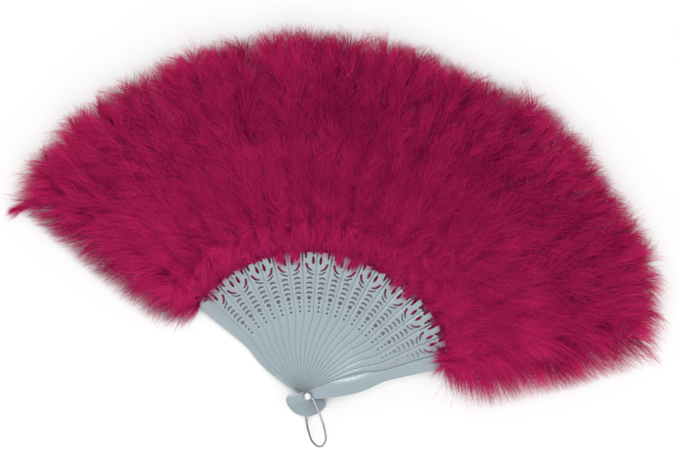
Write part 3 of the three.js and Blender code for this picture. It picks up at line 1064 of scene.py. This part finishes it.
def barb_places(controls, radius, outline, turn):
    """Points of every barb on the fan, in millimetres; controls are in the stick's own."""
    t = barb_points[:, 2][None, :, None]
    p0, p1, p2, p3 = (controls[:, None, k, :] for k in range(4))
    spine = (1 - t) ** 3 * p0 + 3 * t * (1 - t) ** 2 * p1 + 3 * t ** 2 * (1 - t) * p2 + t ** 3 * p3
    slope = unit((1 - t) ** 2 * (p1 - p0) + 2 * t * (1 - t) * (p2 - p1) + t ** 2 * (p3 - p2))
    beside = unit(np.cross(slope, np.array(SKEW)))
    above = np.cross(beside, slope)
    ring = barb_points[:, 0, None] * beside + barb_points[:, 1, None] * above
    spine = spine + radius[:, None, None] * ring
    spine[..., 2] = kept_in_pile(spine[..., 2])
    kept_in_outline(spine, outline[:, None])
    turned = spine.copy()
    turned[..., 0] = spine[..., 0] * math.cos(turn) - spine[..., 1] * math.sin(turn)
    turned[..., 1] = spine[..., 0] * math.sin(turn) + spine[..., 1] * math.cos(turn)
    return turned


def barb_mesh(name, places, tones):
    """Mesh of all the barbs, with the shade of each and the way along it in a UV map."""
    count, points = len(places), len(barb_points)
    sizes = np.array([len(face) for face in barb_faces])
    corners = np.concatenate([np.array(face) for face in barb_faces])
    corners = (corners[None, :] + points * np.arange(count)[:, None]).ravel()
    starts = np.concatenate([[0], np.cumsum(np.tile(sizes, count))[:-1]])
    mesh = bpy.data.meshes.new(name)
    mesh.vertices.add(count * points)
    mesh.vertices.foreach_set("co", (places * MM).astype(np.float32).ravel())
    mesh.loops.add(len(corners))
    mesh.loops.foreach_set("vertex_index", corners.astype(np.int32))
    mesh.polygons.add(len(starts))
    mesh.polygons.foreach_set("loop_start", starts.astype(np.int32))
    mesh.update(calc_edges=True)
    mesh.shade_smooth()

    u = tones[:, None] + TONE_WIDTH * np.clip(barb_points[:, 0], -1, 1)[None, :]
    v = ROOT_PLACE + TIP_SPAN * barb_points[:, 2] + ROUND_SPAN * barb_points[:, 1]
    shades = np.stack([u, np.broadcast_to(v, u.shape)], axis=-1).reshape(-1, 2)
    layer = mesh.uv_layers.new(name=BARB_MAP)
    layer.data.foreach_set("uv", shades[corners].astype(np.float32).ravel())
    mesh.materials.append(dyed_down_painted_light)
    return mesh


print("triangles in a barb:", sum(len(face) - 2 for face in barb_faces))

# %% [markdown]
# Every stick gets its own mix of feathers, grown from its own seed. Its plume then rides on the stick's body
# and takes the place of the plain solid in the imported model. As the fan shuts, the plumes have less and less room.

# %% Plumes on all the sticks
PLUME_SEED = 20
LEAN_SPREAD = 0.02
LONGER_SHARE = 1.03
LONGER_LAYERS = range(14, 20)
COVERED_LAYERS = (6, 7, 10, 11, 14, 15)
COMMON_FEATHERS = (
    ("front_long", -0.045), ("front_long", 0.045), ("front_short", 0.0), ("between", 0.0), ("back_long", -0.06),
    ("back_short", 0.0), ("foot_lip", 0.0), ("foot_front", 0.0), ("foot_back", 0.0),
)
LEFT_FEATHERS = [("left_edge", -0.06), ("left_edge", -0.15), ("corner_tuft", -1.06)]
RIGHT_FEATHERS = [("right_edge", 0.04), ("right_edge", 0.14), ("right_fringe", 0.24), ("guard_cover", 0.1)]


def plume_feathers(rng, layer):
    """Which feathers a stick carries, each with its lean to the right of the stick."""
    feathers = [(kind, lean + rng.normal(0, LEAN_SPREAD)) for kind, lean in COMMON_FEATHERS]
    if layer in COVERED_LAYERS:
        feathers += [("foot_cover", 0.0)]
    if layer == 0:
        feathers += LEFT_FEATHERS
    if layer == FRONT_LAYER:
        feathers += RIGHT_FEATHERS
    return feathers


for layer in range(FRONT_LAYER + 1):
    _, node, body = layer_names(layer)
    rng = np.random.default_rng(PLUME_SEED + layer)
    plate_z = sum(layer_heights(layer)) / 2 / MM
    made = [feather_barbs(rng, kind, plate_z, lean, layer) for kind, lean in plume_feathers(rng, layer)]
    controls, radius, tones, outline = (np.concatenate(part) for part in zip(*made))
    turn = layer_turn(layer)
    longer = LONGER_SHARE if layer in LONGER_LAYERS else 1
    controls[..., :2] *= longer
    places = barb_places(controls, radius, outline * longer, turn)
    plume = bpy.data.objects.new("down_" + node, barb_mesh("down_" + node, places, tones))
    bpy.context.collection.objects.link(plume)
    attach(plume, body)
    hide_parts(node)
    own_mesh(plume)
    print(plume.name, len(tones), "barbs")

# %% [markdown]
# The dressed fan may be a little larger than the imported model, but no more than loose down is.
# The box of the dressed fan is printed in millimetres.

# %% Sizes, and the end
low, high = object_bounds()
print("visual box in mm:", [round(x / MM) for x in (*low, *high)])
